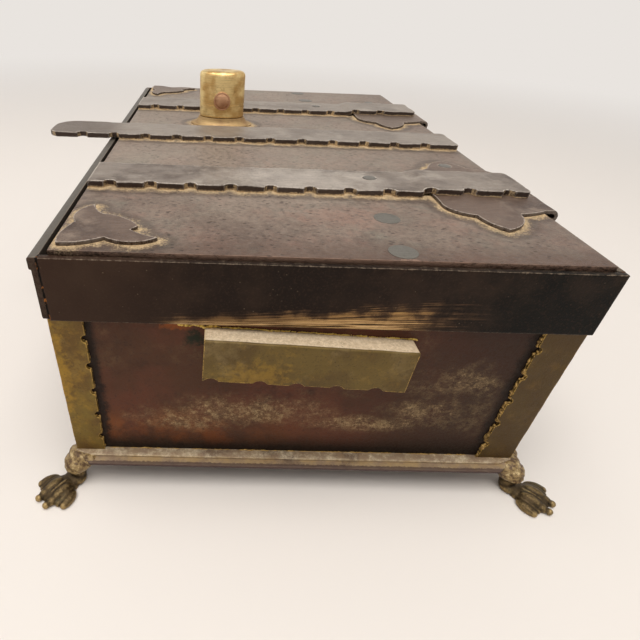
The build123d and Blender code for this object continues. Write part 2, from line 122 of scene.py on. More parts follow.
def makeCamera(c):
    data = bpy.data.cameras.new("camera")
    data.sensor_width = 36
    data.lens = c["focal"] / c["frame"] * data.sensor_width
    data.shift_x = 0.5 - c["middle"][0] / c["frame"]
    data.shift_y = c["middle"][1] / c["frame"] - 0.5
    data.clip_start, data.clip_end = 0.01, 20
    obj = bpy.data.objects.new("camera", data)
    scene.collection.objects.link(obj)
    ahead, level = math.cos(c["yaw"]), math.cos(c["pitch"])
    forward = Vector((math.sin(c["yaw"]) * level, ahead * level, math.sin(c["pitch"])))
    right = Vector((ahead, -math.sin(c["yaw"]), 0))
    up = right.cross(forward)
    aside = right * math.cos(c["roll"]) + up * math.sin(c["roll"])
    above = up * math.cos(c["roll"]) - right * math.sin(c["roll"])
    turn = Matrix((aside, above, -forward)).transposed().to_4x4()
    obj.matrix_world = Matrix.Translation(Vector(c["place"]) * mm) @ turn
    scene.camera = obj


makeCamera(camera)
scene.view_settings.view_transform = "Standard"


# patterns that the finishes are made of

tree = None  # the nodes of the material under way


def combine(kind):
    return lambda a, b=0.0: addNode("Math", {0: a, 1: b}, operation=kind)


class Wire:  # what comes out of a node: sums add Math nodes, | is the larger of two, [] another output
    __add__, __sub__, __mul__ = combine("ADD"), combine("SUBTRACT"), combine("MULTIPLY")
    __truediv__, __or__, __abs__ = combine("DIVIDE"), combine("MAXIMUM"), combine("ABSOLUTE")

    def __init__(self, socket):
        self.socket = socket

    def __rsub__(self, other):
        return combine("SUBTRACT")(other, self)

    def __getitem__(self, key):
        return Wire(self.socket.node.outputs[key])


def addNode(kind, links=None, **settings):  # one node, with its settings and what goes into it
    made = tree.nodes.new("ShaderNode" + kind)
    for key, value in settings.items():
        setattr(made, key, value)
    for key, value in (links or {}).items():
        if isinstance(value, Wire):
            tree.links.new(value.socket, made.inputs[key])
        else:
            made.inputs[key].default_value = value
    return Wire(made.outputs[0]) if made.outputs else None


def newMaterial(name):
    global tree
    made = bpy.data.materials.new(name)
    made.use_nodes = True
    tree = made.node_tree
    tree.nodes.clear()
    return made, inMillimetres()


def inMillimetres(stretch=(1, 1, 1)):
    place = addNode("TexCoord")["Object"]
    return addNode("Mapping", {"Vector": place, "Scale": [1000 / s for s in stretch]})


def spread(value, low, high, toLow=0.0, toHigh=1.0):  # smooth step from low to high
    return addNode("MapRange", {"Value": value, "From Min": low, "From Max": high, "To Min": toLow,
                                "To Max": toHigh}, interpolation_type="SMOOTHSTEP")


def paint(amount, under, over):
    under, over = (toLinear(c) if isinstance(c, str) else c for c in (under, over))
    return addNode("Mix", {0: amount, 6: under, 7: over}, data_type="RGBA")[2]


def cloud(coords, size, low, high, detail, rough, seed, warp=0.0):  # size in millimetres
    made = addNode("TexNoise", {"Vector": coords, "W": seed * 7.3, "Scale": 1 / size, "Detail": detail,
                                "Roughness": rough, "Distortion": warp}, noise_dimensions="4D")
    return spread(made, low, high)


def specks(coords, size, radius, seed):  # small round spots, one in each cell at most
    moved = addNode("VectorMath", {0: coords, 1: (seed * 31.7, seed * 17.1, seed * 11.3)}, operation="ADD")
    far = addNode("TexVoronoi", {"Vector": moved, "Scale": 1 / size})["Distance"]
    return spread(far, radius, radius * 0.4)


def blot(coords, middle, size, wobble, seed, soft, grain=6.0):  # one ragged patch
    moved = addNode("VectorMath", {0: coords, 1: middle}, operation="SUBTRACT")
    moved = addNode("VectorMath", {0: moved, 1: size}, operation="DIVIDE")
    far = addNode("VectorMath", {0: moved}, operation="LENGTH")["Value"]
    ragged = addNode("TexNoise", {"Vector": coords, "W": seed * 5.1, "Scale": 1 / grain, "Detail": 6.0,
                                  "Roughness": 0.65}, noise_dimensions="4D")
    return spread(far + spread(ragged, 0.25, 0.75, -wobble, wobble), 1.0, 1.0 - soft)


def marked(name, pattern=None, low=0.0, high=0.0):  # a mark of the mesh's points, made ragged by a pattern
    plain = addNode("Attribute", attribute_name=name)["Fac"]
    return plain + spread(pattern, 0, 1, low, high) if pattern else plain


def upright():  # 1 on faces that stand
    normal = addNode("SeparateXYZ", {0: addNode("NewGeometry")["True Normal"]})
    return spread(abs(normal[2]), 0.75, 0.35)


def finish(f, colour, pattern, metal, height, shine=0.5, cover=None):
    rough = spread(pattern, 0, 1, *f["rough"])
    rough = rough | cover * 0.95 if cover else rough
    bump = addNode("Bump", {"Height": height, "Strength": 1.0, "Distance": f["relief"] * mm})
    shader = addNode("BsdfPrincipled", {"Base Color": colour, "Roughness": rough, "Metallic": metal,
                                        "Specular IOR Level": shine, "Normal": bump})
    addNode("OutputMaterial", {"Surface": shader})


# Polishing sand and flux that settled along the pieces: pale, dry and crumbly.
dust = {"light": "#d9c097", "dark": "#ab8f69", "from": 0.48, "to": 0.95, "thick": 1.2}


def dustedFinish(f, coords, colour, pattern, height):
    grains = cloud(coords, 0.7, 0.3, 0.7, 5, 0.75, 21)
    uneven = cloud(coords, 6, 0.25, 0.75, 3, 0.6, 22)
    mask = marked("dust", uneven, -0.16, 0.1) + spread(grains, 0, 1, -0.16, 0.14)
    mask = spread(mask, dust["from"], dust["to"]) * 0.95
    colour = paint(mask, colour, paint(grains, dust["dark"], dust["light"]))
    height = height + mask * (grains + dust["thick"])
    finish(f, colour, pattern, (1.0 - mask) * f["metal"], height, cover=mask)


# Hand-beaten mild steel with a brown patina: dull and mottled, purplish and grey-green, finely pitted.
lidFinish = {"brown": "#69564b", "taupe": "#8b7a6c", "green": "#7d786b", "pink": "#9c7767", "pit": "#33261f",
             "edge": "#b5a798", "rust": "#523629", "side": "#2a1b14", "arris": "#a98874", "metal": 0.4,
             "rough": (0.4, 0.58), "relief": 0.06, "blush": ((8, -114, 114.5), (26, 14, 9)),
             "sheen": ((-15, -88, 114.5), (62, 34, 20))}  # patches: middle, half sizes


def lidSteel(f):
    made, coords = newMaterial("patinatedLidSteel")
    colour = paint(cloud(coords, 38, 0.3, 0.65, 5, 0.65, 1), f["brown"], f["taupe"])
    colour = paint(cloud(coords, 26, 0.48, 0.7, 6, 0.7, 2), colour, f["green"])
    colour = paint(cloud(coords, 24, 0.46, 0.7, 8, 0.8, 3) * 0.55, colour, f["pink"])
    colour = paint(blot(coords, *f["blush"], 0.5, 1, 0.8) * 0.5, colour, f["pink"])
    across, along, up = addNode("SeparateXYZ", {0: coords})
    middle = spread(along, -125, -40, 0.1, 0.4) * spread(across, 80, 0, 0.6, 1.0)
    colour = paint(middle, colour, f["edge"])  # painted sheen: paler inward
    colour = paint(blot(coords, *f["sheen"], 0.3, 2, 0.9, 12) * 0.35, colour, f["edge"])
    colour = paint(spread(across, 50, 95, 0, 0.35), colour, f["brown"])
    flecks = inMillimetres((1.9, 1.0, 1.0))
    mottle = cloud(coords, 2.4, 0.34, 0.66, 8, 0.85, 6)
    colour = paint(spread(mottle, 0.5, 0.0, 0, 0.3), colour, f["pit"])
    colour = paint(spread(mottle, 0.5, 1.0, 0, 0.22), colour, f["edge"])
    colour = paint(spread(along, -130, -149, 0, 0.5), colour, f["rust"])  # redder by the near edge
    pits = specks(flecks, 2.0, 0.28, 1) * cloud(coords, 17, 0.38, 0.56, 3, 0.6, 4)
    grain = cloud(flecks, 0.9, 0.3, 0.7, 5, 0.75, 5)
    colour = paint(spread(grain, 0.5, 0.0) * 0.5, colour, f["pit"])
    colour = paint(pits * 0.8, colour, f["pit"])
    # painted shade: the standing faces are painted darker
    colour = paint(upright() * 0.9, colour, f["side"])
    # arrises painted paler: partly wear, partly painted highlight
    arrisWearAndHighlight = spread(marked("wearAndHighlight", grain, -0.08, 0.05), 0.82, 0.96)
    colour = paint(arrisWearAndHighlight * 0.5, colour, f["arris"])
    strapShade = spread(marked("dust"), 0.12, 0.45)  # painted shade: darker just beyond the dust that lies along the straps
    colour = paint(strapShade * 0.4, colour, f["pit"])
    dustedFinish(f, coords, colour, grain, grain - pits * 1.5)
    return made


# Wrought strap steel, hand-filed and handled: greyer than the lid, with bright arrises (wear and painted
# highlight) and standing faces darkened by painted shade.
strapFinish = {"dark": "#5c4d43", "grey": "#978b80", "pale": "#afa498", "pit": "#30241c", "edge": "#e2d8cc",
               "side": "#2e1d14", "metal": 0.5, "rough": (0.36, 0.54), "relief": 0.05,
               "sheen": ((0, -80, 117), (52, 30, 20))}
rivetFinish = dict(strapFinish, dark="#69665e", grey="#737067", pale="#7e7a71", pit="#565149", side="#3d342c",
                   edge="#75716a")
leafFinish = dict(strapFinish, dark="#54433a", grey="#7d695c", pale="#938172", edge="#c9bcae",
                  rough=(0.38, 0.56))
hiddenFinish = dict(strapFinish, dark="#3a2f29", grey="#5a4f48", pale="#786c62", side="#4a3f38")


def strapSteel(f, name):
    made, coords = newMaterial(name)
    colour = paint(cloud(coords, 30, 0.34, 0.56, 4, 0.6, 1), f["dark"], f["grey"])
    colour = paint(cloud(coords, 14, 0.5, 0.7, 5, 0.65, 2), colour, f["pale"])
    across, along, up = addNode("SeparateXYZ", {0: coords})
    # painted sheen: the straps are paler away from the near end
    colour = paint(spread(along, -75, -5, 0, 0.5), colour, f["pale"])
    colour = paint(blot(coords, *f["sheen"], 0.3, 2, 0.9, 12) * 0.5, colour, f["edge"])
    colour = paint(spread(across, -90, -104, 0, 0.6), colour, f["dark"])  # the free tongue
    brush = cloud(inMillimetres((7.0, 1.0, 1.0)), 0.9, 0.3, 0.7, 4, 0.6, 3)
    grain = cloud(coords, 0.9, 0.3, 0.7, 5, 0.75, 4)
    colour = paint(brush * 0.22, colour, f["pit"])
    colour = paint(spread(grain, 0.5, 0.0, 0, 0.35), colour, f["pit"])
    pits = specks(coords, 1.9, 0.2, 2) * cloud(coords, 11, 0.46, 0.62, 3, 0.6, 5)
    colour = paint(pits * 0.7, colour, f["pit"])
    standing = upright()
    # painted shade: the standing faces are painted darker
    colour = paint(standing * 0.9, colour, f["side"])
    # arrises painted paler: partly wear, partly painted highlight
    arrisWearAndHighlight = spread(marked("wearAndHighlight", grain, -0.14, 0.08), 0.7, 0.9)
    colour = paint(arrisWearAndHighlight * spread(standing, 1.0, 0.6, 0.25, 1.0) * 0.9, colour, f["edge"])
    dustedFinish(f, coords, colour, grain, grain + brush - pits * 1.5)
    return made


# Blackened sheet steel: nearly black and smooth, brown where thin, rubbed to a golden brown above the near
# pull, in fine streaks that fan out from its left end.
rimFinish = {"left": "#37261c", "middle": "#1e1510", "right": "#0b0a07", "haze": "#443327",
             "rubbed": "#5e4630", "gold": "#b38c57", "bright": "#ecc892", "fleck": "#8d7a60",
             "edge": "#a4937f", "gap": "#0f0a07", "seam": "#a0622d", "bead": "#5f5a52", "corner": "#2c1c14",
             "metal": 0.1, "rough": (0.4, 0.58), "relief": 0.04, "shine": (0.12, 0.5), "rubFrom": 87.4}


def rimSteel(f):
    made, coords = newMaterial("blackenedRimSteel")
    across, along, up = addNode("SeparateXYZ", {0: coords})
    colour = paint(spread(across, -100, -25), f["left"], f["middle"])
    colour = paint(spread(across, 25, 75), colour, f["right"])
    colour = paint(cloud(coords, 22, 0.42, 0.7, 5, 0.6, 1) * 0.4, colour, f["haze"])
    grain = cloud(coords, 0.9, 0.25, 0.75, 5, 0.7, 2)
    colour = paint(spread(grain, 0.5, 1.0, 0, 0.45), colour, f["haze"])
    flecks = specks(coords, 3.1, 0.1, 1) * cloud(coords, 20, 0.4, 0.6, 3, 0.6, 3)
    colour = paint(flecks * 0.45, colour, f["fleck"])
    fan = (up - f["rubFrom"]) / spread(across, -60, 60, 1.0, 2.7)
    streaks = cloud(addNode("CombineXYZ", {0: across / 34, 2: fan * 4.0}), 1.0, 0.3, 0.68, 6, 0.75, 4, 0.5)
    ragged = cloud(coords, 7, 0.25, 0.75, 4, 0.6, 9)
    band = spread(fan + spread(ragged, 0, 1, -0.9, 0.9), 6.4, 2.0) * spread(across, -66, -50)
    band = band * spread(across + spread(ragged, 0, 1, -5, 5), 66, 18) * spread(marked("front"), 0.1, 0.9)
    scratched = streaks + (band - 1.0)  # only the deepest where it fades
    colour = paint(spread(scratched, -0.1, 0.4) * 0.85, colour, f["rubbed"])
    golden = spread(scratched, 0.25, 0.75) * spread(across, -24, 2, 0.35, 1.0)
    colour = paint(golden, colour, f["gold"])
    colour = paint(spread(scratched, 0.5, 0.85) * spread(fan, 3.4, 0.8), colour, f["bright"])
    colour = paint(band * spread(streaks, 0.36, 0.14, 0, 0.8), colour, f["middle"])
    corner = spread(across, -97.2, -97.5) * spread(along, -152.4, -152.7)
    colour = paint(corner * 0.9, colour, f["corner"])  # the front plate's end
    bead = spread(across, -97.2, -97.7) * spread(up, 108.5, 111.5) * (1.0 - corner)
    colour = paint(bead * 0.85, colour, f["bead"])  # painted highlight: the front plate's turned-over top is painted grey
    # arrises painted paler: partly wear, partly painted highlight
    wearAndHighlight = marked("wearAndHighlight", grain, -0.04, 0.04)
    colour = paint(spread(wearAndHighlight, 0.84, 0.95) * (0.5 - corner * 0.4), colour, f["edge"])
    seam = marked("dust", grain, -0.12, 0.08)
    speckled = paint(cloud(coords, 2.4, 0.54, 0.62, 4, 0.6, 8), f["gap"], f["seam"])
    colour = paint(spread(seam, 0.72, 0.9), colour, speckled)
    shine = spread(bead, 0, 1, *f["shine"])
    finish(f, colour, grain, f["metal"], grain + streaks * band, shine)
    return made


# Rusted sheet steel under old lacquer: reddish brown, with pale blotches where the lacquer has gone chalky.
wallFinish = {"red": "#5b3423", "brown": "#4b2f1e", "dim": "#301e14", "chalk": "#b39a70", "rust": "#84471c",
              "stain": "#1d2212", "dark": "#170a03", "metal": 0.1, "rough": (0.48, 0.7), "relief": 0.07,
              "shine": 0.25,  # next, patches: middle, half sizes
              "chalky": (((-22, -150.5, 42), (44, 6, 11)), ((28, -150.5, 36), (40, 6, 7)),
                         ((52, -150.5, 44), (24, 6, 8)), ((66, -150.5, 62), (20, 6, 12)),
                         ((-50, -150.5, 36), (30, 6, 9))),
              "rustSpot": ((-52, -150.5, 86), (8, 4, 2.6)), "greenSpot": ((-46, -150.5, 80), (5, 4, 5))}


def wallSteel(f):
    made, coords = newMaterial("rustedWallSteel")
    across, along, up = addNode("SeparateXYZ", {0: coords})
    colour = paint(cloud(coords, 30, 0.38, 0.62, 4, 0.6, 1), f["brown"], f["red"])
    dim = spread(across, 0, 75, 0, 0.85) | cloud(coords, 24, 0.5, 0.75, 6, 0.7, 2)
    colour = paint(dim, colour, f["dim"])
    grain = cloud(coords, 1.3, 0.25, 0.75, 6, 0.75, 3)
    blotches = cloud(coords, 5.0, 0.44, 0.6, 10, 0.85, 4)
    scratched = cloud(inMillimetres((4.0, 4.0, 1.2)), 1.0, 0.5, 0.6, 6, 0.8, 7, 1.2)
    chalky = cloud(coords, 40, 0.5, 0.75, 3, 0.6, 9) * 0.6
    for k, patch in enumerate(f["chalky"]):
        chalky = chalky | blot(coords, *patch, 0.3, 5 + k, 0.9, 10)
    fine = cloud(coords, 1.6, 0.42, 0.62, 8, 0.85, 8, 0.6)
    lines = (fine | scratched) * spread(blotches, 0, 0.8, 0.25, 1.0)
    amount = chalky * (blotches * 0.45 | lines)
    colour = paint(amount * spread(across, 20, 70, 1.0, 0.62), colour, f["chalk"])
    rusty = spread(up, 48, 22) * cloud(coords, 22, 0.4, 0.6, 5, 0.65, 6) * spread(across, 20, -60)
    colour = paint(rusty * 0.85, colour, f["rust"])
    colour = paint(blot(coords, *f["rustSpot"], 0.5, 14, 0.7, 2), colour, f["rust"])
    colour = paint(blot(coords, *f["greenSpot"], 0.5, 15, 0.8, 3), colour, f["stain"])
    colour = paint(spread(grain, 0.45, 0.0) * 0.5, colour, f["dark"])
    # the dust mark here is nearness alone: the wall is painted darker close to the corner straps and the
    # floor plate
    close = marked("dust", blotches, -0.12, 0.12)
    colour = paint(spread(close, 0.25, 0.72) * 0.95, colour, f["dark"])
    colour = paint(spread(up, 31, 18, 0, 0.9), colour, f["dark"])  # by the plinth
    colour = paint(spread(up, rimLow / mm - 0.5, rimLow / mm + 1), colour, f["dark"])  # painted shade: dark above the rim's lower edge, where the wall lies under the rim and in the slit
    finish(f, colour, grain, f["metal"], grain, f["shine"])
    return made


# Rolled sheet brass gone olive with age, rubbed golden on the outer corners; dull, with soldering scorch.
brassFinish = {"olive": "#7a642b", "brown": "#654c22", "gold": "#ab852c", "pale": "#9a7f43", "pit": "#2d2010",
               "edge": "#c9a558", "right": "#483517", "rightAmount": 0.85, "goldAmount": 0.65,
               "goldSpot": ((-98, -152, 62), (4.5, 6, 30)), "flangeFrom": None, "metal": 0.55,
               "rough": (0.42, 0.6), "relief": 0.05}
pullFinish = dict(brassFinish, olive="#6b582b", brown="#5b4824", pale="#83704a", rightAmount=0.1,
                  goldAmount=0.4, goldSpot=((-22, -159, 70), (18, 6, 8)), flangeFrom=158.2,
                  flange=("#b8a282", "#ebd9bd"))  # painted light: the flange that faces up is painted pale


def sheetBrass(f, name):
    made, coords = newMaterial(name)
    across, along, up = addNode("SeparateXYZ", {0: coords})
    colour = paint(cloud(coords, 16, 0.38, 0.62, 4, 0.6, 1), f["olive"], f["brown"])
    colour = paint(cloud(coords, 9, 0.5, 0.72, 5, 0.65, 2) * 0.6, colour, f["pale"])
    colour = paint(spread(across, -60, 60, 0, f["rightAmount"]), colour, f["right"])
    gold = blot(coords, *f["goldSpot"], 0.6, 3, 0.9, 3)
    gold = gold | cloud(coords, 7, 0.5, 0.72, 7, 0.75, 3) * spread(across, 20, 80, 0.7, 0.2)
    colour = paint(gold * f["goldAmount"], colour, f["gold"])
    grain = cloud(coords, 0.9, 0.25, 0.75, 5, 0.7, 4)
    colour = paint(spread(grain, 0.5, 0.0, 0, 0.4), colour, f["pit"])
    pits = specks(coords, 1.7, 0.2, 2) * cloud(coords, 9, 0.5, 0.64, 3, 0.6, 5)
    metal = f["metal"]
    if f["flangeFrom"]:
        # painted light: the pull's top flange, which faces up, is painted pale and less metallic
        deep = spread(abs(along), f["flangeFrom"] + 0.6, f["flangeFrom"])
        colour = paint(deep * 0.95, colour, paint(grain, *f["flange"]))
        metal = spread(deep, 0, 1, metal, 0.0)
    colour = paint(pits * 0.7, colour, f["pit"])
    # arrises painted paler: partly wear, partly painted highlight
    wearAndHighlight = marked("wearAndHighlight", grain, -0.12, 0.06)
    colour = paint(spread(wearAndHighlight, 0.78, 0.95) * 0.8, colour, f["edge"])
    colour = paint(spread(marked("dust"), 0.7, 1.0) * 0.8, colour, f["pit"])
    finish(f, colour, grain, metal, grain - pits * 1.5)
    return made


# The plinth: steel with a brassy solder wash, taupe on top with a painted highlight, rubbed golden on its
# margin, dark on its edge.
plinthFinish = {"taupe": "#947e67", "gold": "#ad9369", "dark": "#4a3631", "edge": "#dccdae",
                "inside": ("#3f2d20", "#57402e"), "metal": 0.3, "rough": (0.45, 0.62), "relief": 0.08}


def plinthSteel(f):
    made, coords = newMaterial("washedPlinthSteel")
    across, along, up = addNode("SeparateXYZ", {0: coords})
    across, along = abs(across), abs(along)
    grain = cloud(coords, 1.1, 0.25, 0.75, 5, 0.7, 1)
    outer = spread(along, 154.4, 155.4, 0.25, 0.95)
    colour = paint(cloud(coords, 8, 0.4, 0.6, 6, 0.7, 2) * outer, f["taupe"], f["gold"])
    colour = paint(cloud(coords, 13, 0.5, 0.66, 5, 0.65, 3) * 0.6, colour, f["dark"])
    # pale wash, with a painted highlight that makes the top face paler
    creamAndTopHighlight = cloud(coords, 5, 0.44, 0.7, 8, 0.8, 4) * spread(up, 15.7, 16.6, 0.2, 1.0)
    colour = paint(creamAndTopHighlight, colour, f["edge"])
    inside = spread(along, 149.5, 148.5) * spread(across, 96.5, 95.5)
    colour = paint(inside, colour, paint(cloud(coords, 18, 0.4, 0.65, 6, 0.7, 6), *f["inside"]))
    # arrises painted paler: partly wear, partly painted highlight
    wearAndHighlight = marked("wearAndHighlight", cloud(coords, 3, 0.3, 0.7, 4, 0.6, 5), -0.3, 0.1)
    colour = paint(spread(wearAndHighlight, 0.6, 0.9) * 0.25, colour, f["edge"])
    margin = spread(along + spread(grain, 0, 1, -0.3, 0.3), 156.9, 157.6) * spread(up, 16.2, 15.9)
    under = spread(up + spread(grain, 0, 1, -0.15, 0.15), 15.6, 15.3)
    colour = paint(under | margin * 0.85, colour, f["dark"])
    finish(f, colour, grain, f["metal"], grain)
    return made


# Sand-cast brass, never polished: golden on the ridges, brown and pitted in the hollows.
castFinish = {"ridge": "#b79b68", "mid": "#463720", "hollow": "#1a1108", "green": "#5c543a",
              "crust": "#927a50", "bright": "#cfba8c", "pit": "#573f25", "metal": 0.7,
              "rough": (0.34, 0.55), "relief": 0.08, "solderFrom": 6.4}


def castBrass(f):
    made, coords = newMaterial("castFootBrass")
    grain = cloud(coords, 0.8, 0.25, 0.75, 5, 0.7, 1)
    ridge = marked("ridge", grain, -0.07, 0.07)
    colour = paint(spread(ridge, 0.2, 0.5), f["hollow"], f["mid"])
    colour = paint(spread(ridge, 0.5, 1.0), colour, f["ridge"])
    colour = paint(cloud(coords, 6, 0.5, 0.7, 4, 0.6, 2) * 0.5, colour, f["green"])
    height = addNode("SeparateXYZ", {0: coords})[2] + spread(grain, 0, 1, -0.4, 0.4)
    crusty = cloud(coords, 2.6, 0.34, 0.66, 6, 0.7, 6)
    crust = paint(spread(ridge + spread(crusty, 0, 1, -0.4, 0.35), 0.2, 0.6), f["pit"], f["crust"])
    crust = paint(spread(crusty, 0.7, 1.0), crust, f["bright"])
    raw = spread(height, f["solderFrom"], f["solderFrom"] + 1)  # the solder is duller than the casting
    metal = spread(raw, 0, 1, f["metal"], 0.2)
    finish(f, paint(raw, colour, crust), grain, metal, grain)
    return made


# Silver-brass solder as it ran: golden where it was touched, brown flux and pits between.
solderFinish = {"ridge": "#b9975a", "mid": "#7c6136", "hollow": "#2a1a0d", "green": "#6d6238", "metal": 0.6,
                "rough": (0.35, 0.6), "relief": 0.1}
brightSolderFinish = dict(solderFinish, ridge="#d9bb62", mid="#b08a3a", hollow="#6a3a16", green="#a87a35")


def solderMetal(f, name):
    made, coords = newMaterial(name)
    grain = cloud(coords, 0.7, 0.25, 0.75, 5, 0.7, 1)
    ridge = marked("ridge", cloud(coords, 2.2, 0.3, 0.7, 5, 0.7, 3), -0.35, 0.25)
    colour = paint(spread(ridge, 0.15, 0.45), f["hollow"], f["mid"])
    colour = paint(spread(ridge, 0.5, 0.85), colour, f["ridge"])
    colour = paint(cloud(coords, 5, 0.5, 0.7, 4, 0.6, 2) * 0.6, colour, f["green"])
    finish(f, colour, grain, f["metal"], grain)
    return made


# Turned and filed brass: bright, brushed round the grip, brown in patches.
knobFinish = {"bright": "#efd69a", "tan": "#c9a366", "brown": "#8a6638", "metal": 0.8, "rough": (0.3, 0.5),
              "relief": 0.03}
roseFinish = dict(knobFinish, bright="#b89b6c", tan="#9c7c54", brown="#7c5f3e", metal=0.55,
                  rough=(0.45, 0.62))
bossFinish = dict(knobFinish, bright="#c79a76", tan="#9a6c4c", brown="#6a452c", metal=0.6)


def knobBrass(f, name):
    made, coords = newMaterial(name)
    rings = cloud(inMillimetres((14, 14, 1)), 0.55, 0.3, 0.7, 4, 0.6, 1)
    colour = paint(cloud(coords, 9, 0.4, 0.64, 4, 0.6, 2), f["bright"], f["tan"])
    colour = paint(cloud(coords, 5, 0.55, 0.72, 5, 0.65, 3) * 0.7, colour, f["brown"])
    colour = paint(spread(rings, 0.5, 0.0) * 0.3, colour, f["brown"])
    # arrises painted paler: partly wear, partly painted highlight
    colour = paint(spread(marked("wearAndHighlight"), 0.7, 0.95) * 0.6, colour, f["bright"])
    dustedFinish(f, coords, colour, rings, rings)
    return made


finishes = {"lid": lidSteel(lidFinish), "strap": strapSteel(strapFinish, "filedStrapSteel"),
            "rim": rimSteel(rimFinish), "wall": wallSteel(wallFinish),
            "corner": sheetBrass(brassFinish, "agedCornerBrass"),
            "pull": sheetBrass(pullFinish, "agedPullBrass"),
            "plinth": plinthSteel(plinthFinish), "foot": castBrass(castFinish),
            "knob": knobBrass(knobFinish, "filedKnobBrass"), "rose": knobBrass(roseFinish, "dustyRoseBrass"),
            "boss": knobBrass(bossFinish, "copperyBossBrass"),
            "solder": solderMetal(solderFinish, "brownSolder"),
            "brightSolder": solderMetal(brightSolderFinish, "yellowSolder"),
            "rivet": strapSteel(rivetFinish, "flushRivetSteel"),
            "leaf": strapSteel(leafFinish, "filedLeafSteel"),
            "latch": strapSteel(hiddenFinish, "forgedLatchSteel")}
report("finishes")


# worked pieces: copies of the CAD pieces, merged, their edges broken, their faces divided and slightly uneven

def copyNode(node, name):
    source = frame["nodes"][node]
    piece = source.copy()
    piece.data = source.data.copy()
    piece.name = piece.data.name = name
    piece.parent = None
    piece.hide_viewport = piece.hide_render = False
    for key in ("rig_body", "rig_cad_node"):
        if key in piece:
            del piece[key]
    scene.collection.objects.link(piece)
    selectOnly(piece)
    edit.customdata_custom_splitnormals_clear()
    editAll(piece)
    edit.remove_doubles(threshold=0.002 * mm)
    edit.dissolve_limited(angle_limit=math.radians(0.5))
    setMode("OBJECT")
    piece.data.materials.clear()
    return piece


def sharpPoints(piece, step=0.4 * mm):  # points along the outward edges
    found = []
    mesh = bmesh.new()
    mesh.from_mesh(piece.data)
    for edge in mesh.edges:
        if len(edge.link_faces) == 2 and edge.calc_face_angle_signed(0) > 0.6:
            a, b = (v.co for v in edge.verts)
            count = max(1, int((b - a).length / step))
            found += [a.lerp(b, (k + 0.5) / count) for k in range(count)]
    mesh.free()
    points = KDTree(len(found))
    for k, co in enumerate(found):
        points.insert(co, k)
    points.balance()
    return points


surfaces = {}


def surfaceOf(node):
    if node not in surfaces:
        data = frame["nodes"][node].data
        surfaces[node] = BVHTree.FromPolygons([v.co.copy() for v in data.vertices],
                                              [tuple(p.vertices) for p in data.polygons])
    return surfaces[node]


def breakEdges(piece, width):
    selectOnly(piece)
    made = piece.modifiers.new("arris", "BEVEL")
    made.width, made.segments = width * mm, 2
    made.limit_method, made.angle_limit = "ANGLE", math.radians(35)
    made.miter_outer = "MITER_ARC"
    bpy.ops.object.modifier_apply(modifier="arris")


def trim(piece, height, **side):  # cuts the mesh level at a height, and closes it
    editAll(piece)
    edit.bisect(plane_co=(0, 0, height), plane_no=(0, 0, 1), use_fill=True, **side)
    setMode("OBJECT")


def divide(piece, axis, step):
    values = [v.co[axis] for v in piece.data.vertices]
    low, high = min(values), max(values)
    count = max(1, round((high - low) / (step * mm)))
    normal = [0, 0, 0]
    normal[axis] = 1
    editAll(piece)
    for k in range(1, count):
        edit.select_all(action="SELECT")
        place = [0, 0, 0]
        place[axis] = low + (high - low) * k / count + 1e-6
        edit.bisect(plane_co=place, plane_no=normal)
    setMode("OBJECT")


def roughen(piece, amount, size, seed, still=None):  # still: axis, height and reach in mm that stay put
    for v in piece.data.vertices:
        p = v.co / (size * mm) + Vector((seed * 13.1, seed * 7.7, seed * 3.3))
        push = Vector([noise.noise(p + Vector(shift)) for shift in ((0, 0, 0), (31, 0, 0), (0, 47, 0))])
        weight = 1.0
        if still:
            weight = min(1.0, abs(v.co[still[0]] - still[1] * mm) / (still[2] * mm))
        v.co += push * (amount * mm * weight)


def keepInside(piece, node):  # nothing stands past the piece's own box
    low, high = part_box(node)
    for v in piece.data.vertices:
        v.co = [min(max(c, a), b) for c, a, b in zip(v.co, low, high)]


def roundEnd(piece, radius=2.0):  # the front rim plate's free lower corner is filed round
    selectOnly(piece)
    setMode("EDIT")
    edit.select_mode(type="EDGE")
    edit.select_all(action="DESELECT")
    setMode("OBJECT")
    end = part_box("rim_front")[0].y
    for edge in piece.data.edges:
        ends = [piece.data.vertices[k].co for k in edge.vertices]
        edge.select = all(co.z < rimLow + 0.1 * mm and co.y < end + 0.1 * mm for co in ends)
    setMode("EDIT")
    edit.bevel(offset=radius * mm, segments=5)
    edit.select_mode(type="VERT")
    setMode("OBJECT")


def lowerTop(piece, depth=3.5):  # the slit along the lid's front edge is deep
    trim(piece, rimTop - depth * mm, clear_outer=True)


def shorten(piece, share=0.84):  # the pin's ends lie back in the knuckles
    ys = [v.co.y for v in piece.data.vertices]
    middle = (min(ys) + max(ys)) / 2
    for v in piece.data.vertices:
        v.co.y = middle + (v.co.y - middle) * share


def proud(piece, height=0.06):  # the filed heads stand a hair above the plates
    for v in piece.data.vertices:
        v.co.z += height * mm


def markNotches(piece, node):  # dust sits in the notches, behind the near edge
    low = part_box(node)[0]
    near = piece.data.attributes["dust"].data
    for v in piece.data.vertices:
        if 0.4 < (v.co.y - low.y) / mm < 2.4 and abs(v.normal.z) < 0.5:
            near[v.index].value = max(near[v.index].value, 0.75)


def markFront(piece):  # 1 on the outer face of the near end
    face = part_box("rim_near_end")[0].y
    mark(piece, "front", [1.0 if v.co.y < face + 0.5 * mm else 0.0 for v in piece.data.vertices])


# the arris mark: 1 at the sharp edges, for wear and painted highlight
def markWearAndHighlight(piece, edges, reach):
    mark(piece, "wearAndHighlight", [max(0.0, 1 - edges.find(v.co)[2] / (reach * mm)) for v in piece.data.vertices])


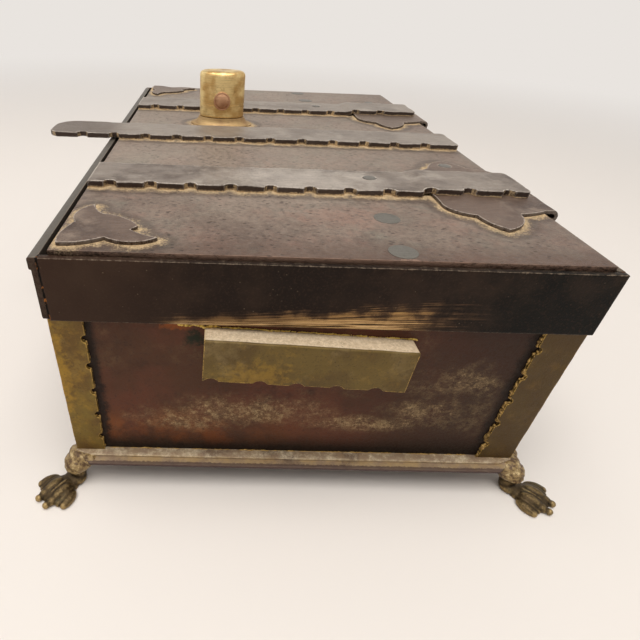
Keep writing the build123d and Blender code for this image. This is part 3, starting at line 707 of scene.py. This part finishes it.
def markDust(piece, nodes, reach):
    near = [0.0] * len(piece.data.vertices)
    for node in nodes:
        surface = surfaceOf(node)
        for k, v in enumerate(piece.data.vertices):
            hit = surface.find_nearest(v.co, reach * mm)
            if hit[0] is not None:
                near[k] = max(near[k], 1 - hit[3] / (reach * mm))
    mark(piece, "dust", near)


def settle(piece, node, look):
    piece.data.materials.append(finishes[look])
    selectOnly(piece)
    bpy.ops.object.shade_smooth_by_angle(angle=math.radians(35))
    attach(piece, bodyOf[node])
    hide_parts(node)


def workedPiece(node, name, look, arris, cuts, uneven=None, still=None, reach=2.0, dustFrom=(),
                dustReach=8.0, seed=1, first=None):
    piece = copyNode(node, name)
    if first:
        first(piece)
    edges = sharpPoints(piece)
    breakEdges(piece, arris)
    for cut in cuts:
        divide(piece, *cut)
    markWearAndHighlight(piece, edges, reach)
    markDust(piece, dustFrom, dustReach)
    if uneven:
        roughen(piece, uneven[0], uneven[1], seed, still)
        keepInside(piece, node)
    settle(piece, node, look)
    return piece


top = lidTop / mm
onLid = ("strap_near", "strap_centre", "strap_far", "hinge_leaf_near", "hinge_leaf_far", "corner_leaf_near",
         "corner_leaf_far", "knob_rose")
workedPiece("lid_plate", "lidPlate", "lid", 0.35, [(0, 1.6), (1, 1.6)], dustFrom=onLid,
            dustReach=9)
report("lid plate")
for k, place in enumerate(("near", "centre", "far")):
    strap = workedPiece("strap_" + place, "lidStrap." + place, "strap", 0.3,
                        [(0, 0.8), (1, 0.8), (2, 0.9)], uneven=(0.35, 9), still=(2, top, 2.0),
                        dustFrom=("lid_plate", "hinge_leaf_near", "hinge_leaf_far"), dustReach=1.6,
                        seed=k + 2)
    markNotches(strap, "strap_" + place)
report("straps")
for k, end in enumerate(("near", "far")):
    workedPiece("corner_leaf_" + end, "cornerLeaf." + end, "leaf", 0.18, [(0, 0.8), (1, 0.8)],
                uneven=(0.3, 8), still=(2, top, 1.4), seed=k + 7)
    workedPiece("hinge_leaf_" + end, "hingeLeaf." + end, "leaf", 0.18, [(0, 0.8), (1, 0.8)],
                uneven=(0.2, 9), still=(2, top, 1.4), seed=k + 9)
report("leaves")
rims = {"rim_near_end": [(0, 1.1), (2, 1.1)], "rim_far_end": [(0, 2.0), (2, 2.0)],
        "rim_front": [(1, 1.6), (2, 1.4)], "rim_back": [(1, 2.0), (2, 2.0)]}
for k, (node, cuts) in enumerate(rims.items()):
    others = [n for n in rims if n != node]
    rim = workedPiece(node, "rim." + node[4:], "rim", 0.3, cuts, dustFrom=others,
                      dustReach=2.0, seed=k + 11, first=roundEnd if node == "rim_front" else None)
    markFront(rim)
report("rims")
walls = {"near_end_wall": [(0, 1.3), (2, 1.3)], "far_end_wall": [(0, 2.5), (2, 2.5)],
         "front_wall": [(1, 2.5), (2, 2.5)], "back_wall": [(1, 2.5), (2, 2.5)]}
corners = [n for n in frame["nodes"] if n.startswith("corner_strap")]
for node, cuts in walls.items():
    workedPiece(node, "wall." + node, "wall", 0.2, cuts, dustFrom=corners + ["floor_plate"],
                dustReach=7.0, first=lowerTop if node == "front_wall" else None)
report("walls")
for k, node in enumerate(corners):
    workedPiece(node, "cornerStrap" + node[12:].replace("_", "."), "corner", 0.25,
                [(2, 1.0), (0, 1.0), (1, 1.0)], uneven=(0.15, 6), seed=k + 20)
report("corner straps")
for k, end in enumerate(("near", "far")):
    workedPiece(end + "_end_pull", "endPull." + end, "pull", 0.25,
                [(0, 0.9), (1, 0.9), (2, 0.9)], uneven=(0.25, 10), dustFrom=(end + "_end_wall",),
                dustReach=2.5, seed=k + 30)
report("pulls")
for node in ("base_plate", "floor_plate"):
    workedPiece(node, "plinth." + node, "plinth", 0.3, [(0, 3.0), (1, 3.0)], reach=1.6,
                dustFrom=("near_end_wall", "front_wall", "far_end_wall", "back_wall"), dustReach=3.0)
report("plinth")


# small fittings keep their CAD shapes with broken edges

fittings = {("rivet", "rivet_steel"): {"strap_rivets": "rivets.straps", "batten_rivets": "rivets.battens"},
            ("leaf", "rivet_steel"): {"back_leaf_rivets": "rivets.backLeaves"},
            ("latch", "pin_steel"): {"hinge_pin_near": "hingePin.near", "hinge_pin_far": "hingePin.far"},
            ("leaf", "leaf_steel"): {"back_leaf_near": "backLeaf.near", "back_leaf_far": "backLeaf.far"},
            ("latch", "latch_steel"): {"lid_batten_near": "batten.near", "lid_batten_far": "batten.far",
                                       "latch_keeper": "latchKeeper", "latch_bar": "latchBar",
                                       "spindle": "latchSpindle", "spindle_collar": "spindleCollar",
                                       "spindle_nut": "spindleNut"}}
for (look, slot), members in fittings.items():
    for node, name in members.items():
        arris, reach = (0.12, 2.4) if "rivet" in node else (0.3, 1.2)
        special = shorten if "pin" in node else proud if look == "rivet" else None
        workedPiece(node, name, look, arris, [(2, 4.0)], reach=reach, first=special)
report("fittings")


# things made from primitives

def fuse(piece, voxel, rounds, factor=0.5):  # melts the lobes of a joined mesh into one skin
    selectOnly(piece)
    made = piece.modifiers.new("skin", "REMESH")
    made.mode, made.voxel_size = "VOXEL", voxel * mm
    bpy.ops.object.modifier_apply(modifier="skin")
    made = piece.modifiers.new("soften", "SMOOTH")
    made.iterations, made.factor = rounds, factor
    bpy.ops.object.modifier_apply(modifier="soften")


def markRidges(piece, rounds, gain):  # 1 on ridges, 0 in hollows
    mesh = bmesh.new()
    mesh.from_mesh(piece.data)
    mesh.normal_update()
    mesh.verts.ensure_lookup_table()
    rings = [[e.other_vert(v).index for e in v.link_edges] for v in mesh.verts]
    bend = []
    for v, ring in zip(mesh.verts, rings):
        middle = sum((mesh.verts[k].co for k in ring), Vector()) / len(ring)
        size = sum((mesh.verts[k].co - v.co).length for k in ring) / len(ring)
        bend.append((v.co - middle).dot(v.normal) / size)
    for again in range(rounds):
        bend = [(bend[k] + sum(bend[j] for j in ring)) / (1 + len(ring)) for k, ring in enumerate(rings)]
    mesh.free()
    mark(piece, "ridge", [min(1.0, max(0.0, 0.5 + gain * b)) for b in bend])


# cast paw feet: lobes melted into one skin, in the foot's own place: toes along X, the ankle over the origin

pawFoot = {"single": (  # lobes: middle, half sizes, turn about Y and about Z in degrees
    ((0.6, 0, 4.3), (3.5, 3.9, 5.2), (0, 0)), ((2.4, 0, 1.8), (4.9, 5.0, 2.7), (4, 0)),
    ((9.0, 0, 1.1), (7.4, 5.7, 2.9), (0, 0)), ((14.4, 0, 1.2), (5.0, 5.8, 2.4), (4, 0)),
    ((11.8, 0, 2.8), (5.4, 0.8, 1.6), (7, 0))),
    "pair": (
        ((12.2, 2.7, 2.0), (5.4, 2.6, 2.8), (7, 3)), ((11.2, 5.0, 1.5), (5.2, 2.0, 2.2), (3, 14)),
        ((14.6, 5.4, 1.1), (2.8, 2.2, 1.7), (0, 10)), ((11.6, 7.2, 1.2), (4.9, 2.6, 2.1), (2, 20)),
        ((14.6, 8.2, 1.2), (2.1, 1.9, 1.6), (0, 18)), ((16.8, 2.8, 1.6), (3.0, 2.2, 1.9), (10, 0)),
        ((20.1, 2.7, 1.5), (1.6, 1.6, 1.55), (0, 0))),
    "solder": (((-0.4, 0, 10.5), (5.9, 6.3, 4.1), (-14, 0)), ((-2.9, 0, 12.7), (5.4, 6.6, 3.8), (-22, 0)),
               ((1.6, 0, 9.2), (4.2, 5.4, 2.5), (10, 0)), ((-3.4, 5.2, 14.2), (3.0, 4.6, 2.6), (0, 0))),
    "voxel": 0.3, "crust": 0.24, "crustSize": 1.5, "place": {"front": (0.5, 1.2), "back": (1.8, 0.2)},
    "turn": {"front": 4.5, "back": 4}}


def bothSides(lobes):
    return [((m[0], side * m[1], m[2]), half, (turn[0], side * turn[1])) for m, half, turn in lobes
            for side in (-1, 1)]


def addLobes(lobes, name):
    selectOnly()
    for k, (middle, half, turn) in enumerate(lobes):
        spin = Matrix.Rotation(math.radians(turn[1]), 3, "Z") @ Matrix.Rotation(math.radians(turn[0]), 3, "Y")
        place = [c * mm for c in middle]
        if k:
            setMode("EDIT")
            edit.select_all(action="DESELECT")
        edit.primitive_uv_sphere_add(segments=28, ring_count=18, radius=mm, location=place,
                                             rotation=spin.to_euler(), scale=half)
        if k == 0:
            bpy.ops.object.transform_apply(location=True, rotation=True, scale=True)
            made = bpy.context.object
            made.name = made.data.name = name
        else:
            setMode("OBJECT")
    return made


def makePaw(p):
    foot = addLobes([*p["single"], *bothSides(p["pair"])], "paw")
    solder = addLobes(p["solder"], "pawSolder")
    fuse(solder, 0.4, 2)
    roughen(solder, p["crust"], p["crustSize"], 5)
    roughen(solder, p["crust"] * 0.8, p["crustSize"] * 2.4, 9)
    fuse(foot, p["voxel"], 2, 0.4)
    selectOnly(foot, solder)
    bpy.ops.object.join()
    fuse(foot, p["voxel"], 1, 0.3)
    trim(foot, 0, clear_inner=True, threshold=1e-7)
    roughen(foot, 0.07, 1.1, 3, (2, 0.0, 0.6))
    for v in foot.data.vertices:
        v.co.z = max(0.0, v.co.z)
    markRidges(foot, 5, 4.0)
    return foot


master = makePaw(pawFoot)
report("paw")
seatX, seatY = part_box("rim_near_end")[1].x / mm - 0.25, -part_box("rim_near_end")[0].y / mm - 0.25
fourCorners = [(face, end, sideX, sideY) for face, sideX in (("front", -1), ("back", 1))
               for end, sideY in (("near", -1), ("far", 1))]
for face, end, sideX, sideY in fourCorners:
    selectOnly(master)
    bpy.ops.object.duplicate()
    foot = bpy.context.object
    foot.name = foot.data.name = "pawFoot." + face + "." + end
    ahead, aside = pawFoot["place"][face]
    heading = math.atan2(sideY, sideX) - sideY * math.radians(pawFoot["turn"][face])
    foot.data.transform(Matrix.Translation((sideX * seatX * mm, sideY * seatY * mm, 0))
                        @ Matrix.Rotation(heading, 4, "Z")
                        @ Matrix.Translation((ahead * mm, sideX * sideY * aside * mm, 0)))
    settle(foot, "paw_foot_" + face + "_" + end, "foot")
bpy.data.objects.remove(master)
report("paw feet")


# grip, its rose and its boss: rings drawn up one after another, oval in plan

def ringStack(name, rings, hollow, segments=72):  # rings: height, half length, half width in mm
    selectOnly()
    edit.primitive_circle_add(vertices=segments, radius=mm, fill_type="NOTHING")
    made = bpy.context.object
    made.name = made.data.name = name
    setMode("EDIT")
    edit.select_all(action="SELECT")
    bpy.ops.transform.resize(value=(rings[0][1], rings[0][2], 1), center_override=(0, 0, 0))
    bpy.ops.transform.translate(value=(0, 0, rings[0][0] * mm))
    for before, after in zip(rings[:-1], rings[1:]):
        edit.extrude_edges_move(TRANSFORM_OT_translate={"value": (0, 0, (after[0] - before[0]) * mm)})
        growth = after[1] / before[1], after[2] / before[2], 1
        bpy.ops.transform.resize(value=growth, center_override=(0, 0, 0))
    edit.select_all(action="SELECT")
    if hollow:  # joins the last ring to the first
        edit.select_mode(type="EDGE")
        edit.region_to_loop()
        edit.bridge_edge_loops()
        edit.select_mode(type="VERT")
    else:
        edit.fill_holes(sides=0)
    edit.select_all(action="SELECT")
    edit.normals_make_consistent(inside=False)
    setMode("OBJECT")
    return made


knob = {"centre": (-37.2, 30.4), "rose": (
    (0.0, 19.0, 10.7), (0.35, 19.3, 11.0), (0.75, 19.25, 10.95), (1.05, 18.8, 10.7), (1.2, 18.1, 10.4),
    (1.6, 17.0, 9.9), (2.3, 15.7, 9.4), (3.2, 14.8, 9.05), (4.2, 14.3, 8.9), (4.6, 14.1, 8.8),
    (4.6, 4.3, 4.3), (0.0, 4.3, 4.3)),
    "grip": ((0.0, 4.1, 4.1), (0.0, 13.2, 8.05), (0.15, 13.5, 8.35), (0.5, 13.65, 8.5), (6.9, 13.65, 8.5),
             (7.05, 13.4, 8.25), (7.6, 13.4, 8.25), (7.75, 13.65, 8.5), (22.4, 13.65, 8.5),
             (23.6, 13.35, 8.2), (24.4, 12.6, 7.5), (24.9, 11.2, 6.2), (25.0, 9.0, 4.4)),
    "boss": ((-2.0, 5.05, 5.05), (0.5, 5.05, 5.05), (0.8, 4.85, 4.85), (0.85, 4.4, 4.4), (0.6, 4.2, 4.2),
             (0.7, 3.9, 3.9), (1.15, 3.0, 3.0), (1.35, 1.6, 1.6), (1.4, 0.5, 0.5)),
    "bossHeight": 9.6}


def makeKnob(k):
    x, y = k["centre"]
    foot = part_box("turn_grip")[0].z / mm
    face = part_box("turn_grip")[0].y / mm
    shift = Matrix.Translation
    places = {"rose": shift((x * mm, y * mm, lidTop)), "grip": shift((x * mm, y * mm, foot * mm)),
              "boss": shift((x * mm, face * mm, (foot + k["bossHeight"]) * mm))
              @ Matrix.Rotation(math.radians(90), 4, "X")}
    for part, name, node, slot in (("rose", "gripRose", "knob_rose", "knob_brass"),
                                       ("grip", "turnGrip", "turn_grip", "knob_brass"),
                                       ("boss", "gripBoss", "grip_screw", "screw_brass")):
        piece = ringStack(name, k[part], part == "rose")
        piece.data.transform(places[part])
        edges = sharpPoints(piece)
        divide(piece, 2, 1.0)
        roughen(piece, 0.1, 5, 7)
        keepInside(piece, node)
        markWearAndHighlight(piece, edges, 1.5)
        markDust(piece, ("lid_plate",) if part == "rose" else (), 2.2)
        settle(piece, node, "knob" if part == "grip" else part)


makeKnob(knob)
report("grip, rose and boss")


# solder runs: a row of small blobs melted together along a joint

def solderRun(name, points, radii, seed, look="solder", step=0.75, voxel=0.26):
    selectOnly()
    blobs = []
    for a, b in zip(points[:-1], points[1:]):
        a, b = Vector(a), Vector(b)
        count = max(1, int((b - a).length / step))
        blobs += [a.lerp(b, k / count) for k in range(count)]
    for k, spot in enumerate(blobs):
        swell = 0.5 + 0.9 * noise.noise(spot / 3.1 + Vector((seed * 9.1, 0, 0)))
        size = radii[0] + (radii[1] - radii[0]) * min(1, max(0, swell))
        shifts = (seed, 5, 0), (seed, 0, 9), (0, seed, 17)
        shove = Vector([noise.noise(spot * 0.9 + Vector(shift)) for shift in shifts]) * size * 0.8
        edit.primitive_ico_sphere_add(subdivisions=2, radius=size * mm, location=(spot + shove) * mm)
        if k == 0:
            made = bpy.context.object
            made.name = made.data.name = name
            bpy.ops.object.transform_apply(location=True, rotation=True, scale=True)
            setMode("EDIT")
        edit.select_all(action="DESELECT")
    setMode("OBJECT")
    fuse(made, voxel, 1)
    roughen(made, 0.16, 0.9, seed)
    markRidges(made, 2, 3.0)
    made.data.materials.append(finishes[look])
    selectOnly(made)
    bpy.ops.object.shade_smooth()
    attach(made, "casket")


cornerStrap = {"thick": 1.5, "leg": {"front": 12.7, "back": 15.4}, "notch": 1.7, "first": 9.0, "pitch": 13.4}
solderSize = {"front.near": (0.3, 0.62), "back.near": (0.45, 1.0), "front.far": (0.3, 0.7),
              "back.far": (0.35, 0.8)}


def stripEdge(c, leg):  # the notched edge's points: distance from the corner, height
    points, height = [(leg, plinthTop / mm)], plinthTop / mm + c["first"]
    while height < rimLow / mm - c["notch"]:
        for k in range(5):
            turn = math.pi * k / 4
            points.append((leg - c["notch"] * math.sin(turn), height - c["notch"] * math.cos(turn)))
        height += c["pitch"]
    return points + [(leg, rimLow / mm - 0.4)]


wallX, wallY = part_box("near_end_wall")[1].x / mm, -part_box("near_end_wall")[0].y / mm
for face, end, sideX, sideY in fourCorners:
    corner, thick = face + "." + end, cornerStrap["thick"]
    edge = stripEdge(cornerStrap, cornerStrap["leg"][face])
    onEnd = [(sideX * (wallX + thick - out + 0.3), sideY * (wallY + 0.35), z) for out, z in edge]
    solderRun("solder.end." + corner, onEnd, solderSize[corner], 3 * sideX + sideY + 5)
    onSide = [(sideX * (wallX + 0.3), sideY * (wallY + thick - out + 0.3), z) for out, z in edge]
    solderRun("solder.side." + corner, onSide, (0.3, 0.7), 3 * sideX + sideY + 15)
report("corner solder")
pullTop = {"z": 84.05, "lean": math.tan(math.radians(2.6)), "middle": -3.0, "spill": (
    (-51.5, 0.1, 86.6), (-47.5, 0.3, 86.2), (-44.5, 0.4, 86.6), (-42.5, 0.4, 85.8), (-37.5, 0.3, 86.2))}
for end, sideY in (("near", -1), ("far", 1)):
    c = pullTop
    back = [(x, sideY * (wallY + 0.2), c["z"] - (x - c["middle"]) * c["lean"] + 0.2)
            for x in (-42.5, -20, 0, 20, 38)]
    solderRun("solder.pull." + end, back, (0.25, 0.55), sideY + 31, "brightSolder")
    spill = [(x, sideY * (wallY + out), z) for x, out, z in c["spill"]]
    solderRun("solder.spill." + end, spill, (0.35, 1.1), sideY + 33, "brightSolder")
    foot = [(x, sideY * (wallY + 0.15), plinthTop / mm + 0.05) for x in (-84, -40, 0, 40, 82)]
    solderRun("solder.plinth." + end, foot, (0.12, 0.42), sideY + 35, step=0.6,
              voxel=0.22)
report("pull and plinth solder")


# studio: pale sweep and soft lamps

studio = {"sweep": "#e9e4df", "sky": "#f3f2f1", "skyStrength": 0.6, "flat": 2.0, "cove": 0.8, "wall": 1.6}


def plainSweep(colour):  # matt paper sweep, its far parts as pale as its near ones
    made = newMaterial("paleSweep")[0]
    matt = addNode("BsdfPrincipled", {"Base Color": toLinear(colour), "Roughness": 0.9,
                                      "Specular IOR Level": 0.1})
    glow = addNode("Emission", {"Color": toLinear(colour), "Strength": 1.0})
    rays = addNode("LightPath")
    seen = rays["Is Camera Ray"] | rays["Is Glossy Ray"] | rays["Is Transmission Ray"]
    far = addNode("VectorMath", {0: addNode("TexCoord")["Object"]}, operation="LENGTH")["Value"]
    both = addNode("MixShader", {0: seen * spread(far, 0.35, 1.4), 1: matt, 2: glow})
    addNode("OutputMaterial", {"Surface": both})
    return made


def makeSweep(s):
    selectOnly()
    edit.primitive_circle_add(vertices=96, radius=s["flat"], fill_type="NGON")
    sweep = bpy.context.object
    sweep.name = "sweep"
    setMode("EDIT")
    steps = 12
    edit.select_mode(type="EDGE")
    edit.select_all(action="SELECT")
    edit.region_to_loop()
    for step in range(steps):
        before, after = (math.pi / 2 * k / steps for k in (step, step + 1))
        out0, out1 = (s["flat"] + s["cove"] * math.sin(a) for a in (before, after))
        up0, up1 = (s["cove"] * (1 - math.cos(a)) for a in (before, after))
        edit.extrude_edges_move(TRANSFORM_OT_translate={"value": (0, 0, up1 - up0)})
        bpy.ops.transform.resize(value=(out1 / out0, out1 / out0, 1))
    edit.extrude_edges_move(TRANSFORM_OT_translate={"value": (0, 0, s["wall"])})
    edit.select_all(action="SELECT")
    edit.normals_make_consistent(inside=True)
    setMode("OBJECT")
    bpy.ops.object.shade_smooth()
    sweep.data.materials.append(plainSweep(s["sweep"]))


makeSweep(studio)
world = bpy.data.worlds.new("room")
scene.world = world
world.use_nodes = True
world.node_tree.nodes["Background"].inputs[0].default_value = toLinear(studio["sky"])
world.node_tree.nodes["Background"].inputs[1].default_value = studio["skyStrength"]


def addLamp(name, place, aim, size, watts, colour):
    data = bpy.data.lights.new(name, "AREA")
    data.shape = "RECTANGLE"
    data.size, data.size_y = size
    data.energy = watts
    data.color = toLinear(colour)[:3]
    obj = bpy.data.objects.new(name, data)
    scene.collection.objects.link(obj)
    obj.location = place
    obj.rotation_euler = (Vector(aim) - Vector(place)).to_track_quat("-Z", "Y").to_euler()


addLamp("overhead", (-0.12, -0.35, 1.4), (0, 0, 0.05), (1.3, 1.1), 18, "#fffaf4")
addLamp("side", (-1.3, 0.5, 0.8), (0, 0, 0.08), (0.9, 0.9), 1, "#fbfaff")
report("studio")
